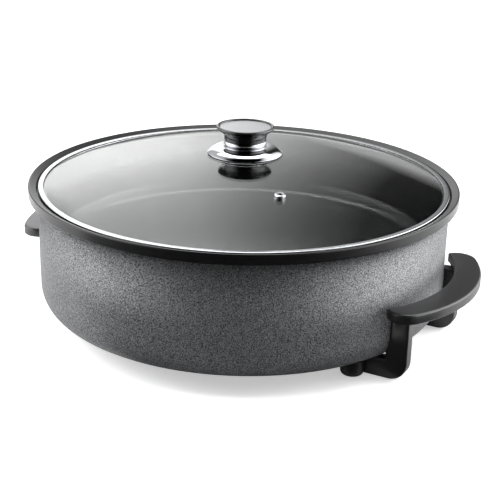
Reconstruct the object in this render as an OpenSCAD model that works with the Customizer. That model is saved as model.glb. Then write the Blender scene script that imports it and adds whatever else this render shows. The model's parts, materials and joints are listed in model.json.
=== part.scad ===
/* [Pan] */
// Inside diameter of the cooking pan
pan_inner_d = 392; // [340:1:440]
// Depth from the top of the rim to the cooking floor
pan_depth = 75.5; // [66:0.5:84]
// Thickness of the pan's floor and wall
pan_wall = 3; // [2:0.1:4]
// Inside radius between the floor and the wall
pan_fillet = 20; // [12:1:28]
// Width of the ledge that carries the lid
ledge_w = 5.5; // [4.5:0.1:8]
// Thickness of the ledge
ledge_t = 2.6; // [2:0.1:4]
// Depth of the ledge below the top of the rim
ledge_drop = 9.3; // [8.5:0.1:14]
// Radial width of the flared rim outside the lid
rim_t = 7.7; // [6:0.1:11]
// Height of the rim's outer face
rim_h = 9.4; // [7:0.1:9.4]
// Rounding of the rim's outer edges
rim_round = 1.2; // [0.8:0.1:2]
// Slope of the rim's top, down towards the lid (degrees)
rim_slope = 25; // [10:1:32]
// Wall between the lid's seat and the hollow under the rim
rim_neck = 2.2; // [1.5:0.1:3]
// Radial play between the lid's band and the rim
lid_play = 1.8; // [0.8:0.1:3]

/* [Casing] */
// Height from the casing's bottom to the top of the rim
body_h = 125.5; // [115:0.5:150]
// Height of the casing's bottom above the counter
ground_gap = 15; // [12:0.5:24]
// Sheet thickness of the casing
casing_t = 1.2; // [0.8:0.1:2]
// Air gap between the pan's wall and the casing
casing_air = 1.8; // [1:0.1:4]
// Outside radius between the casing's bottom and its wall
casing_fillet = 25; // [18:1:32]
// Diameter of the service opening in the casing's bottom
base_open_d = 240; // [200:1:260]
// Width of the cover's rim outside the service opening
cover_lap = 15; // [10:1:20]
// Thickness of the bottom cover
cover_t = 1.2; // [0.8:0.1:2]

/* [Lid] */
// Gap between the edge of the glass and the band's rolled edge above it
band_gap = 0.3; // [0.2:0.1:1.5]
// Sheet thickness of the steel band
band_t = 0.8; // [0.5:0.1:1.2]
// Radius of the band's rolled outer edge
band_roll_r = 1; // [0.8:0.1:2]
// Width of the band's lip over the glass
band_lip_w = 5.1; // [4:0.1:7]
// Radial play between the lid's skirt and the pan's wall
skirt_play = 1.5; // [0.8:0.1:3]
// How far the lid's skirt hangs below the ledge
skirt_drop = 3; // [2:0.1:8]
// Thickness of the glass
glass_t = 4; // [3:0.1:6]
// Rise of the glass from its edge to the crown
glass_rise = 32; // [24:1:46]
// Diameter of the steam vent's flange
vent_d = 10.6; // [8:0.1:14]
// Diameter of the steam vent's hole
vent_hole_d = 3; // [2:0.1:4]
// Distance of the steam vent from the lid's centre
vent_offset = 114.6; // [70:0.1:150]
// Direction of the steam vent round the lid
vent_angle = -45.5; // [-180:0.5:180]

/* [Knob] */
// Height of the knob above its skirt disc
knob_h = 17; // [15:0.5:22]
// Radius of the knob's neck
knob_neck_r = 20.7; // [17:0.1:24]
// Radius of the knob's lip
knob_lip_r = 28.5; // [26:0.1:32]
// Rounding of the knob's lip
knob_lip_round = 1.4; // [1:0.1:1.6]
// Radius of the hollow under the lip
knob_flare_r = 8.5; // [8:0.1:9.5]
// Height of the knob's collar
knob_collar_h = 3.7; // [3:0.1:5]
// Width of the metal ring round the knob's top disc
knob_ring_w = 3.6; // [2.5:0.1:6]
// Thickness of the knob's top disc
cap_t = 0.9; // [0.6:0.1:1.4]
// Wall between the knob's core and its neck
knob_wall = 2.2; // [1.5:0.1:4]
// Radius of the domed skirt disc under the knob
skirt_disc_r = 37; // [32:0.5:44]
// Height of the domed skirt disc
skirt_disc_h = 9.3; // [7:0.1:12]
// Radius of the skirt disc's curve
skirt_curve_r = 33.5; // [26:0.5:60]
// Sheet thickness of the skirt disc
skirt_disc_t = 1; // [0.6:0.1:1.5]
// Thickness of the silicone gaskets on the glass
gasket_t = 1.2; // [0.8:0.1:2]
// Radius of the spacer inside the skirt disc
spacer_r = 14; // [10:0.5:18]

/* [Handles] */
// Reach of the grip beyond the casing
grip_reach = 40; // [32:0.5:48]
// Finger gap between the casing and the grip
finger_gap = 13.5; // [10:0.5:22]
// Half of the grip's length
grip_half = 88.3; // [80:0.1:100]
// Radius of the grip's outer edge
grip_outer_r = 146; // [130:1:190]
// Radius of the grip's inner edge
grip_inner_r = 137; // [115:1:150]
// Radius of the grip's rounded ends
grip_end_r = 17.5; // [14:0.1:19]
// Thickness of the grip
grip_t = 9.5; // [7:0.5:14]
// Height of the grip's top above the counter
grip_top = 73.5; // [66:0.5:84]
// Distance of each leg from the handle's middle
leg_v = 65; // [60:0.5:68]
// Thickness of the legs
leg_t = 12; // [9:0.5:14]
// How far the legs stand out from the casing
leg_out = 5.3; // [3:0.1:9]
// How far the legs reach in under the casing's fillet
leg_in = 15.5; // [12:0.5:18]
// Rounding of the legs' lower outer corner
leg_round = 17; // [10:0.5:18]
// Height of the foot bars beside the casing
foot_bar_h = 19; // [16:0.5:24]
// Radius of the round foot bosses
boss_r = 11; // [9:0.5:13]
// Rounding of the bosses' lower edge
boss_round = 4; // [2:0.5:5]
// Distance of the bosses in from the casing's side
boss_in = 44.5; // [42:0.5:52]
// Distance of each boss outside its leg's middle
boss_side = 12; // [10:0.5:14]
// Gap between the handles and the casing
handle_gap = 0.2; // [0.1:0.05:0.5]
// Direction of the left handle, counted round from the right one
left_angle = 177.5; // [172:0.5:188]

/* [Heater] */
// Thickness of the aluminium heat plate
plate_t = 6; // [6:0.5:9]
// Radius of the heat plate
plate_r = 138; // [130:1:140]
// Diameter of the tubular heating element
element_d = 7.5; // [6.5:0.1:8.5]
// Radius of the heating element's loop
loop_r = 115; // [105:1:120]
// Distance between the element's two leads
lead_pitch = 40; // [36:0.5:46]
// Radius of the bends between the leads and the loop
bend_r = 25; // [15:1:35]
// Number of clips that hold the element
clip_count = 4; // [3:1:6]
// Length of each clip
clip_l = 30; // [26:0.5:34]
// Width of each clip
clip_w = 10; // [8:0.5:14]
// Metal under the element in each clip
clip_t = 1.4; // [1:0.1:2.5]
// Thickness of the heat shield
shield_t = 0.8; // [0.5:0.1:1.2]
// Width of the heat shield outside the posts' collars
shield_lap = 5; // [2:0.5:8]
// Distance of the heat shield below the earth strap
shield_drop = 11; // [6:0.5:14]

/* [Inlet] */
// Inside width of the socket
inlet_w = 57; // [52:0.5:62]
// Inside height of the socket
inlet_h = 15; // [14:0.5:15.5]
// Depth of the socket from its face to its back wall
inlet_depth = 25; // [20:0.5:30]
// Wall thickness of the socket
inlet_wall = 2.5; // [2:0.1:3]
// Thickness of the socket's back wall
inlet_back = 4; // [3:0.1:6]
// Width of the socket's flange on the casing
inlet_lap = 12; // [10:0.5:14]
// Thickness of the socket's flange
inlet_flange_t = 3; // [2:0.1:4]
// Diameter of the contact pins
pin_d = 4; // [3:0.1:5]
// Free length of the contact pins
pin_l = 16; // [12:0.5:19]
// Bore of the sensor sleeve
sleeve_bore_d = 6.6; // [5:0.1:7]
// Outside diameter of the sensor sleeve
sleeve_d = 9; // [8.5:0.1:9.4]
// Bored depth of the sensor sleeve
sleeve_depth = 78; // [70:1:84]
// Length of the sensor block
block_l = 48; // [42:1:54]
// Width of the sensor block
block_w = 28; // [26:0.5:29]
// Thickness of the earth strap
strap_t = 0.8; // [0.5:0.1:1]
// Width of the earth strap
strap_w = 8; // [6:0.5:10]

/* [Fasteners] */
// Radius of the large screws
screw_r = 2.5; // [2:0.1:3]
// Radius of the small screws
small_screw_r = 1.5; // [1.2:0.1:1.8]
// Radial clearance of screws and pins in their holes
hole_gap = 0.1; // [0.05:0.01:0.2]
// Radius of the spacer posts
post_r = 5; // [4:0.1:6]
// Clear width between the heat plate and the posts' bosses
post_gap = 5; // [2:0.5:8]
// Number of screws in the bottom cover
cover_screws_n = 6; // [4:1:8]

/* [Hidden] */
$fn = 96;

eps = 0.01;
through = 1;
seat = 0.15;

// Radii, from the pan's wall outwards
pan_r = pan_inner_d / 2;
casing_r = pan_r + pan_wall + casing_air + casing_t;
casing_in_r = casing_r - casing_t;
band_r = pan_r + ledge_w;
rim_in_r = band_r + lid_play;
rim_r = rim_in_r + rim_t;
rim_edge_r = rim_r - rim_round;

// Heights above the counter
rim_top = ground_gap + body_h;
rim_low = rim_top - rim_h;
ledge_z = rim_top - ledge_drop;
seam_z = ledge_z - ledge_t;
floor_z = rim_top - pan_depth;
floor_under = floor_z - pan_wall;
casing_floor = ground_gap + casing_t;
plate_under = floor_under - plate_t;
element_r = element_d / 2;
lead_step = 0.5;
lead_r = element_r + lead_step;
element_z = plate_under - lead_r - seat;
sleeve_cover = 0.7;
sleeve_z = plate_under - sleeve_d / 2 - sleeve_cover;
inlet_drop = 1;
inlet_z = element_z - inlet_drop;

// Screw heads, as shares of the screw that they belong to
head_share = 1.8;
head_h_share = 1.1;
screw_head_r = screw_r * head_share;
screw_head_h = screw_r * head_h_share;
small_head_r = small_screw_r * head_share;
small_head_h = small_screw_r * head_h_share;
nut_r = screw_r * 1.7;
nut_h = screw_r * 1.6;

// Lid
skirt_r = pan_r - skirt_play;
band_lip_r = band_r - band_lip_w;
glass_play = 0.7;
glass_r = band_r - band_t - glass_play;
glass_edge_z = ledge_z + band_t + seat;
dome_in_r = (glass_r * glass_r + glass_rise * glass_rise) / (2 * glass_rise);
dome_out_r = dome_in_r + glass_t;
dome_c_z = glass_edge_z + glass_rise - dome_in_r;
crown_top = dome_c_z + dome_out_r;
band_top = glass_top(glass_r) + band_gap + 2 * band_roll_r;
vent_tilt = asin(vent_offset / dome_out_r);
vent_flange_w = 2.2;
vent_tube_r = vent_d / 2 - vent_flange_w;
vent_dome_h = 2.2;
vent_edge_h = 0.6;
vent_crown_h = vent_dome_h - vent_edge_h;
vent_dome_r = (pow(vent_d / 2, 2) + pow(vent_crown_h, 2)) / (2 * vent_crown_h);
vent_foot_t = 0.8;
function glass_top(r) = dome_c_z + sqrt(dome_out_r * dome_out_r - r * r);
function glass_under(r) = dome_c_z + sqrt(dome_in_r * dome_in_r - r * r);

// Knob
spacer_z = crown_top + gasket_t;
knob_z = crown_top - pow(skirt_disc_r, 2) / (2 * dome_out_r) + skirt_disc_h + skirt_disc_t + seat;
core_r = knob_neck_r - knob_wall;
cap_r = knob_lip_r - knob_ring_w;
core_h = knob_h - cap_t - 2 * knob_wall;
knob_nut_r = screw_r * 1.8;
knob_nut_h = core_h * 3 / 4;
washer_r = screw_r * 3.2;
washer_t = 1;
glass_hole_play = 1;
collar_bulge = 0.4;
lip_rise = 0.2;
lower_gasket_z = glass_under(washer_r) - gasket_t - seat;

// Handles
grip_under = grip_top - grip_t;
grip_out = casing_r + grip_reach;
grip_in = casing_r + finger_gap;
grip_outer_c = grip_out - grip_outer_r;
grip_inner_c = grip_in - grip_inner_r;
grip_end_v = grip_half - grip_end_r;
grip_end_u = grip_outer_c + sqrt(pow(grip_outer_r - grip_end_r, 2) - pow(grip_end_v, 2));
grip_end_a = atan2(grip_end_v, grip_end_u - grip_outer_c);
leg_out_u = casing_r + leg_out;
leg_in_u = casing_r - leg_in;
boss_u = casing_r - boss_in;
boss_v = leg_v + boss_side;
foot_head_z = 3;
head_play = 0.7;
foot_bore_r = screw_head_r + head_play;
foot_bore_h = foot_head_z + screw_head_h;
wall_screw_r = small_screw_r * 1.25;
wall_screw_l = 12;
wall_screw_lift = 4;
wall_screw_side = 2;
wall_screw_z = (foot_bar_h + grip_under) / 2 + wall_screw_lift;
wall_screw_a = asin((leg_v - wall_screw_side) / casing_r);

// Inlet, on the side of the left handle
inlet_face = casing_r + inlet_flange_t;
inlet_back_front = inlet_face - inlet_depth;
inlet_back_rear = inlet_back_front - inlet_back;
inlet_half_w = inlet_w / 2 + inlet_wall;
inlet_half_h = inlet_h / 2 + inlet_wall;
inlet_fit = 0.3;
flange_half_w = inlet_half_w + inlet_lap;
flange_lip = 2;
flange_half_h = inlet_half_h + flange_lip;
inlet_screw_a = asin((inlet_half_w + inlet_lap / 2) / casing_r);
bush_wall = 2.2;
bush_r = pin_d / 2 + bush_wall;
bush_collar_w = 1.6;
bush_collar_r = bush_r + bush_collar_w;
bush_nose = 2;
bush_tail = 2;
bush_collar_t = 4;
lead_end = inlet_back_rear - bush_collar_t - bush_tail;
pin_step = 0.3;
pin_stem_r = pin_d / 2 - pin_step;
pin_root = inlet_back_front + bush_nose;
sleeve_nose = 6;
sleeve_cap = 2;
sleeve_mouth = inlet_back_front + sleeve_nose;
sleeve_end = sleeve_mouth - sleeve_depth - sleeve_cap;
block_nose = 16;
block_end = sleeve_end - block_nose;
strap_z = inlet_z - inlet_h / 2;
strap_back = 6;
strap_out = inlet_face - strap_back;
block_under = strap_z + strap_t;
earth_screw_in = 7;
earth_screw_u = block_end + earth_screw_in;
shield_z = strap_z - shield_drop;
screw_tail = 3;

// Casing posts and the pan's bosses
pan_boss_r = 8;
pan_boss_h = 6;
stud_l = 7;
post_collar_w = 3;
post_collar_r = post_r + post_collar_w;
post_collar_h = 2;
post_screw_l = 16;
cover_r = base_open_d / 2 + cover_lap;
cover_ring_r = base_open_d / 2 + cover_lap / 2;
post_ring_r = max(plate_r + pan_boss_r, cover_r + screw_head_r) + post_gap;
shield_r = post_ring_r + post_collar_r + shield_lap;

// The element's loop, then on each side a joint, a bend and a cold lead
joint_l = 6;
joint_in = 1.6;
bend_c_v = lead_pitch / 2 + bend_r;
loop_a = asin(bend_c_v / norm([loop_r + bend_r, joint_l])) + atan(joint_l / (loop_r + bend_r));
bend_c_u = (loop_r + bend_r) * cos(loop_a) + joint_l * sin(loop_a);
clip_screw_u = element_r + (clip_l / 2 - element_r) / 2;
clip_bite = 3;

black_coat = [0.09, 0.09, 0.1];
hammer_grey = [0.36, 0.37, 0.38];
bakelite = [0.07, 0.07, 0.075];
steel = [0.8, 0.81, 0.83];
zinc = [0.66, 0.67, 0.69];
aluminium = [0.75, 0.76, 0.78];
brass = [0.78, 0.65, 0.35];
silicone = [0.86, 0.86, 0.84];
clear_glass = [0.75, 0.82, 0.82, 0.35];
steatite = [0.93, 0.91, 0.86];

// Half section of a round vessel filled to its brim, with a rounded bottom corner
module vessel(r, z0, z1, fillet) {
    translate([0, z0]) square([r - fillet, fillet + eps]);
    translate([0, z0 + fillet]) square([r, z1 - z0 - fillet]);
    translate([r - fillet, z0 + fillet]) circle(fillet);
}

// A screw along +Z with its head below the origin
module screw(r, l, head_r, head_h) {
    translate([0, 0, -head_h]) cylinder(r = head_r, h = head_h);
    translate([0, 0, -eps]) cylinder(r = r, h = l + eps);
}

// Children copied at equal angles on a ring
module ring_of(n, r, start = 0) {
    for (i = [0:n - 1]) rotate(start + i * 360 / n) translate([r, 0, 0]) children();
}

// Children at the four foot bosses
module at_bosses() {
    for (a = [0, left_angle], s = [-1, 1]) rotate(a) translate([boss_u, s * boss_v, 0]) children();
}

// Children at the four legs, with +Z pointing out through the casing's wall
module at_wall_screws() {
    for (a = [0, left_angle], s = [-1, 1])
        rotate(a + s * wall_screw_a) translate([casing_in_r, 0, wall_screw_z]) rotate([0, 90, 0]) children();
}

// Children at the two flange screws, with +Z pointing in through the casing's wall
module at_inlet_screws() {
    for (s = [-1, 1])
        rotate(180 + s * inlet_screw_a) translate([inlet_face, 0, inlet_z]) rotate([0, -90, 0]) children();
}

// Children laid along the inlet's axis, with +Z pointing out of the socket
module along_inlet(v, z, u) {
    translate([-u, v, z]) rotate([0, -90, 0]) children();
}

// Section of the rim: seat wall for the lid and a flange whose top slopes down to it
module flared_rim() {
    slope_r = rim_edge_r - rim_round * sin(rim_slope);
    slope_z = rim_top - rim_round * (1 - cos(rim_slope));
    polygon([
        [rim_in_r, seam_z], [rim_in_r + rim_neck, seam_z], [rim_in_r + rim_neck, rim_low], [rim_edge_r, rim_low],
        [rim_edge_r, rim_top - rim_round], [slope_r, slope_z],
        [rim_in_r, slope_z - (slope_r - rim_in_r) * tan(rim_slope)]
    ]);
    for (z = [rim_low + rim_round, rim_top - rim_round]) translate([rim_edge_r, z]) circle(rim_round);
    translate([rim_edge_r - eps, rim_low + rim_round]) square([rim_round + eps, rim_h - 2 * rim_round]);
}

module inner_pan() {
    color(black_coat) difference() {
        union() {
            rotate_extrude() difference() {
                union() {
                    vessel(pan_r + pan_wall, floor_under, ledge_z, pan_fillet + pan_wall);
                    translate([0, seam_z]) square([rim_in_r + eps, ledge_t]);
                    flared_rim();
                }
                vessel(pan_r, floor_z, rim_top + through, pan_fillet);
            }
            ring_of(4, post_ring_r, 45)
                translate([0, 0, floor_under - pan_boss_h]) cylinder(r = pan_boss_r, h = pan_boss_h + eps);
        }
        ring_of(4, post_ring_r, 45)
            translate([0, 0, floor_under - pan_boss_h - eps])
                cylinder(r = screw_r + hole_gap, h = stud_l + hole_gap + eps);
    }
}

module outer_casing() {
    color(hammer_grey) difference() {
        rotate_extrude() difference() {
            vessel(casing_r, ground_gap, seam_z, casing_fillet);
            vessel(casing_in_r, casing_floor, seam_z + through, casing_fillet - casing_t);
            square([base_open_d / 2, casing_floor + through]);
        }
        at_bosses() translate([0, 0, ground_gap - through])
            cylinder(r = screw_r + hole_gap, h = casing_t + 2 * through);
        ring_of(4, post_ring_r, 45) translate([0, 0, ground_gap - through])
            cylinder(r = screw_r + hole_gap, h = casing_t + 2 * through);
        ring_of(cover_screws_n, cover_ring_r) translate([0, 0, ground_gap - through])
            cylinder(r = small_screw_r + hole_gap, h = casing_t + 2 * through);
        at_wall_screws() translate([0, 0, -through])
            cylinder(r = wall_screw_r + hole_gap, h = casing_t + 2 * through);
        at_inlet_screws() cylinder(r = small_screw_r + hole_gap, h = inlet_flange_t + casing_t + 2 * through);
        translate([-casing_r - through, -inlet_half_w - inlet_fit, inlet_z - inlet_half_h - inlet_fit])
            cube([casing_r / 4, 2 * (inlet_half_w + inlet_fit), 2 * (inlet_half_h + inlet_fit)]);
    }
}

module bottom_cover() {
    color(zinc) difference() {
        translate([0, 0, ground_gap - cover_t]) cylinder(r = cover_r, h = cover_t);
        ring_of(cover_screws_n, cover_ring_r) translate([0, 0, ground_gap - cover_t - through])
            cylinder(r = small_screw_r + hole_gap, h = cover_t + 2 * through);
    }
}

module cover_screws() {
    color(zinc) ring_of(cover_screws_n, cover_ring_r) translate([0, 0, ground_gap - cover_t])
        screw(small_screw_r, cover_t + casing_t + screw_tail, small_head_r, small_head_h);
}

module spacer_posts() {
    post_h = floor_under - pan_boss_h - casing_floor;
    color(zinc) ring_of(4, post_ring_r, 45) difference() {
        union() {
            translate([0, 0, casing_floor]) cylinder(r = post_r, h = post_h);
            translate([0, 0, shield_z - post_collar_h]) cylinder(r = post_collar_r, h = post_collar_h);
            translate([0, 0, casing_floor]) cylinder(r = screw_r, h = post_h + stud_l);
        }
        translate([0, 0, casing_floor - eps])
            cylinder(r = screw_r + hole_gap, h = post_screw_l + hole_gap);
    }
}

module casing_screws() {
    color(zinc) ring_of(4, post_ring_r, 45) translate([0, 0, ground_gap])
        screw(screw_r, casing_t + post_screw_l - through, screw_head_r, screw_head_h);
}

module heat_plate() {
    color(aluminium) difference() {
        translate([0, 0, plate_under]) cylinder(r = plate_r, h = plate_t);
        at_clip_screws() translate([0, 0, -eps])
            cylinder(r = small_screw_r + hole_gap, h = clip_bite + hole_gap);
        at_block_screws(plate_under) translate([0, 0, -eps])
            cylinder(r = small_screw_r + hole_gap, h = clip_bite + hole_gap);
    }
}

// The element's tube round a bend of radius r, from angle a0 to a1
module bent_tube(r, a0, a1) {
    rotate(a0) rotate_extrude(angle = a1 - a0) translate([r, 0]) circle(element_r);
}

module heating_element() {
    loop_in = atan(joint_in / loop_r);
    bend_in = atan(joint_in / bend_r);
    color(zinc) translate([0, 0, element_z]) {
        bent_tube(loop_r, loop_a - 180 - loop_in, 180 - loop_a + loop_in);
        for (m = [0, 1]) mirror([0, m, 0]) {
            rotate(180 - loop_a) translate([loop_r, 0, 0]) rotate([-90, 0, 0])
                cylinder(r = lead_r, h = joint_l);
            translate([-bend_c_u, bend_c_v, 0]) bent_tube(bend_r, -90 - bend_in, bend_in - loop_a);
            along_inlet(lead_pitch / 2, 0, bend_c_u) cylinder(r = lead_r, h = lead_end - bend_c_u);
        }
    }
}

// Children at the clips, spread over the loop away from the leads
module at_clips() {
    for (i = [0:clip_count - 1])
        rotate((i + 0.5) * 300 / clip_count - 150) translate([loop_r, 0, 0]) children();
}

module at_clip_screws() {
    at_clips() for (s = [-1, 1]) translate([s * clip_screw_u, 0, plate_under]) children();
}

module element_clips() {
    clip_h = plate_under - element_z + element_r + clip_t;
    color(zinc) difference() {
        at_clips() translate([-clip_l / 2, -clip_w / 2, plate_under - clip_h]) cube([clip_l, clip_w, clip_h]);
        translate([0, 0, element_z]) rotate_extrude() translate([loop_r, 0]) circle(element_r + hole_gap);
        at_clip_screws() translate([0, 0, -clip_h - through])
            cylinder(r = small_screw_r + hole_gap, h = clip_h + 2 * through);
    }
}

module clip_screws() {
    clip_h = plate_under - element_z + element_r + clip_t;
    color(zinc) at_clip_screws() translate([0, 0, -clip_h])
        screw(small_screw_r, clip_h + clip_bite, small_head_r, small_head_h);
}

module heat_shield() {
    color(aluminium) difference() {
        translate([0, 0, shield_z]) cylinder(r = shield_r, h = shield_t);
        ring_of(4, post_ring_r, 45) translate([0, 0, shield_z - through])
            cylinder(r = post_r + hole_gap, h = shield_t + 2 * through);
    }
}

module contact_pins() {
    color(brass) for (s = [-1, 1]) along_inlet(s * lead_pitch / 2, element_z, lead_end) {
        cylinder(r = pin_stem_r, h = pin_root - lead_end + eps);
        translate([0, 0, pin_root - lead_end]) cylinder(r = pin_d / 2, h = pin_l);
    }
}

module pin_insulators() {
    color(steatite) for (s = [-1, 1]) along_inlet(s * lead_pitch / 2, element_z, lead_end) difference() {
        union() {
            cylinder(r = bush_r, h = pin_root - lead_end);
            translate([0, 0, inlet_back_rear - lead_end - bush_collar_t])
                cylinder(r = bush_collar_r, h = bush_collar_t);
        }
        translate([0, 0, -through])
            cylinder(r = pin_stem_r + hole_gap, h = pin_root - lead_end + 2 * through);
    }
}

module sensor_sleeve() {
    color(steel) along_inlet(0, sleeve_z, sleeve_end) difference() {
        cylinder(r = sleeve_d / 2, h = sleeve_mouth - sleeve_end);
        translate([0, 0, sleeve_mouth - sleeve_end - sleeve_depth])
            cylinder(r = sleeve_bore_d / 2, h = sleeve_depth + through);
    }
}

// Children at the two screws beside the sensor sleeve
module at_block_screws(z) {
    for (s = [-1, 1])
        translate([-block_end - block_l / 2, s * (block_w / 2 + sleeve_d / 2) / 2, z]) children();
}

module sensor_block() {
    block_h = plate_under - block_under;
    color(aluminium) difference() {
        translate([-block_end - block_l, -block_w / 2, block_under]) cube([block_l, block_w, block_h]);
        along_inlet(0, sleeve_z, sleeve_end - hole_gap) cylinder(r = sleeve_d / 2 + hole_gap, h = block_l);
        at_block_screws(block_under) translate([0, 0, -through])
            cylinder(r = small_screw_r + hole_gap, h = block_h + 2 * through);
        translate([-earth_screw_u, 0, block_under - eps])
            cylinder(r = small_screw_r + hole_gap, h = block_h * 2 / 3 + hole_gap);
    }
}

module block_screws() {
    color(zinc) at_block_screws(block_under)
        screw(small_screw_r, plate_under - block_under + clip_bite, small_head_r, small_head_h);
}

module earth_strap() {
    color(zinc) difference() {
        translate([-strap_out, -strap_w / 2, strap_z]) cube([strap_out - block_end, strap_w, strap_t]);
        translate([-earth_screw_u, 0, strap_z - through])
            cylinder(r = small_screw_r + hole_gap, h = strap_t + 2 * through);
    }
}

module earth_screw() {
    color(zinc) translate([-earth_screw_u, 0, strap_z])
        screw(small_screw_r, strap_t + (plate_under - block_under) * 2 / 3, small_head_r, small_head_h);
}

module inlet_socket() {
    color(bakelite) difference() {
        union() {
            intersection() {
                translate([-inlet_face, -inlet_half_w, inlet_z - inlet_half_h])
                    cube([inlet_face - inlet_back_rear, 2 * inlet_half_w, 2 * inlet_half_h]);
                cylinder(r = inlet_face, h = rim_top);
            }
            intersection() {
                translate([-inlet_face, -flange_half_w, inlet_z - flange_half_h])
                    cube([inlet_face / 2, 2 * flange_half_w, 2 * flange_half_h]);
                difference() {
                    cylinder(r = inlet_face, h = rim_top);
                    cylinder(r = casing_r + seat, h = rim_top);
                }
            }
        }
        translate([-inlet_face - through, -inlet_w / 2, inlet_z - inlet_h / 2])
            cube([inlet_depth + through, inlet_w, inlet_h]);
        for (s = [-1, 1]) along_inlet(s * lead_pitch / 2, element_z, inlet_back_rear - through)
            cylinder(r = bush_r + hole_gap, h = inlet_back + 2 * through);
        along_inlet(0, sleeve_z, inlet_back_rear - through)
            cylinder(r = sleeve_d / 2 + hole_gap, h = inlet_back + 2 * through);
        translate([-inlet_back_front - through, -strap_w / 2 - hole_gap, strap_z])
            cube([inlet_back + 2 * through, strap_w + 2 * hole_gap, strap_t + hole_gap]);
        at_inlet_screws() translate([0, 0, -through])
            cylinder(r = small_screw_r + hole_gap, h = inlet_flange_t + 2 * through);
    }
}

module inlet_screws() {
    color(zinc) at_inlet_screws()
        screw(small_screw_r, inlet_flange_t + casing_t + screw_tail, small_head_r, small_head_h);
}

// Plan of the crescent grip
module grip_plan() {
    difference() {
        union() {
            intersection() {
                translate([grip_outer_c, 0]) circle(grip_outer_r);
                translate([grip_outer_c, 0]) polygon([
                    [0, 0],
                    2 * grip_outer_r * [cos(grip_end_a), -sin(grip_end_a)],
                    2 * grip_outer_r * [cos(grip_end_a), sin(grip_end_a)]
                ]);
            }
            for (s = [-1, 1]) translate([grip_end_u, s * grip_end_v]) circle(grip_end_r);
        }
        translate([grip_inner_c, 0]) circle(grip_inner_r);
    }
}

// Side view of a leg with its foot bar
module leg_side() {
    translate([leg_in_u, leg_round]) square([leg_out_u - leg_in_u, grip_under - leg_round + eps]);
    translate([leg_in_u, 0]) square([leg_out_u - leg_round - leg_in_u, leg_round + eps]);
    translate([leg_out_u - leg_round, leg_round]) circle(leg_round);
    translate([boss_u - boss_r * 0.8, 0]) square([leg_in_u - boss_u + boss_r, foot_bar_h]);
}

module handle() {
    difference() {
        union() {
            translate([0, 0, grip_under]) linear_extrude(grip_t) grip_plan();
            for (s = [-1, 1]) {
                translate([0, s * leg_v + leg_t / 2, 0]) rotate([90, 0, 0]) linear_extrude(leg_t) leg_side();
                translate([boss_u, s * boss_v, 0]) rotate_extrude()
                    vessel(boss_r, 0, ground_gap - handle_gap, boss_round);
                translate([boss_u - boss_r * 0.8, min(s * leg_v, s * boss_v), boss_round])
                    cube([boss_r * 1.6, boss_side, ground_gap - handle_gap - boss_round]);
            }
        }
        rotate_extrude()
            vessel(casing_r + handle_gap, ground_gap - handle_gap, seam_z, casing_fillet + handle_gap);
        for (s = [-1, 1]) {
            translate([boss_u, s * boss_v, -through]) cylinder(r = foot_bore_r, h = foot_bore_h + through);
            translate([boss_u, s * boss_v, 0]) cylinder(r = screw_r + hole_gap, h = ground_gap);
            rotate(s * wall_screw_a) translate([casing_in_r, 0, wall_screw_z]) rotate([0, 90, 0])
                cylinder(r = wall_screw_r + hole_gap, h = wall_screw_l + hole_gap);
        }
    }
}

module right_handle() {
    color(bakelite) handle();
}

module left_handle() {
    color(bakelite) rotate(left_angle) handle();
}

module foot_screws() {
    color(zinc) at_bosses() translate([0, 0, foot_bore_h])
        screw(screw_r, ground_gap + casing_t + nut_h - foot_bore_h + screw_tail, screw_head_r, screw_head_h);
}

module foot_nuts() {
    color(zinc) at_bosses() translate([0, 0, casing_floor + seat]) difference() {
        cylinder(r = nut_r, h = nut_h, $fn = 6);
        translate([0, 0, -through]) cylinder(r = screw_r + hole_gap, h = nut_h + 2 * through);
    }
}

module handle_wall_screws() {
    color(zinc) at_wall_screws() translate([0, 0, -seat])
        screw(wall_screw_r, wall_screw_l + seat, wall_screw_r * head_share, small_head_h);
}

module lid_glass() {
    color(clear_glass) difference() {
        intersection() {
            translate([0, 0, dome_c_z]) difference() {
                sphere(dome_out_r);
                sphere(dome_in_r);
            }
            translate([0, 0, ledge_z]) cylinder(r = glass_r, h = crown_top);
        }
        translate([0, 0, ledge_z]) cylinder(r = screw_r + glass_hole_play, h = crown_top);
        at_vent() translate([0, 0, -2 * glass_t]) cylinder(r = vent_tube_r + hole_gap, h = 3 * glass_t);
    }
}

// Children on the outside of the glass at the steam vent, with +Z square to it
module at_vent() {
    translate([0, 0, dome_c_z]) rotate([0, vent_tilt, vent_angle]) translate([0, 0, dome_out_r]) children();
}

module lid_band() {
    lip_z = glass_top(band_lip_r) + seat;
    roll_u = band_r - band_roll_r;
    shoulder_u = roll_u - band_roll_r;
    color(steel) rotate_extrude() {
        translate([band_r - band_t, ledge_z]) square([band_t, band_top - band_roll_r - ledge_z]);
        translate([roll_u, band_top - band_roll_r]) circle(band_roll_r);
        polygon([
            [roll_u, band_top],
            [shoulder_u, band_top],
            [band_lip_r, lip_z + band_t],
            [band_lip_r, lip_z],
            [shoulder_u, band_top - band_t],
            [roll_u, band_top - band_t]
        ]);
        translate([skirt_r - band_t, ledge_z]) square([band_r - skirt_r + band_t, band_t]);
        translate([skirt_r - band_t, ledge_z - skirt_drop])
            square([band_t, glass_under(skirt_r) - seat - ledge_z + skirt_drop]);
    }
}

module steam_vent() {
    color(steel) at_vent() difference() {
        union() {
            translate([0, 0, seat]) intersection() {
                translate([0, 0, vent_dome_h - vent_dome_r]) sphere(vent_dome_r);
                cylinder(r = vent_d / 2, h = vent_dome_h);
            }
            translate([0, 0, -glass_t - 2 * seat]) cylinder(r = vent_tube_r, h = glass_t + 3 * seat + eps);
            translate([0, 0, -glass_t - seat - vent_foot_t]) cylinder(r = vent_d / 2, h = vent_foot_t);
        }
        translate([0, 0, -2 * glass_t]) cylinder(r = vent_hole_d / 2, h = 4 * glass_t);
    }
}

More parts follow.
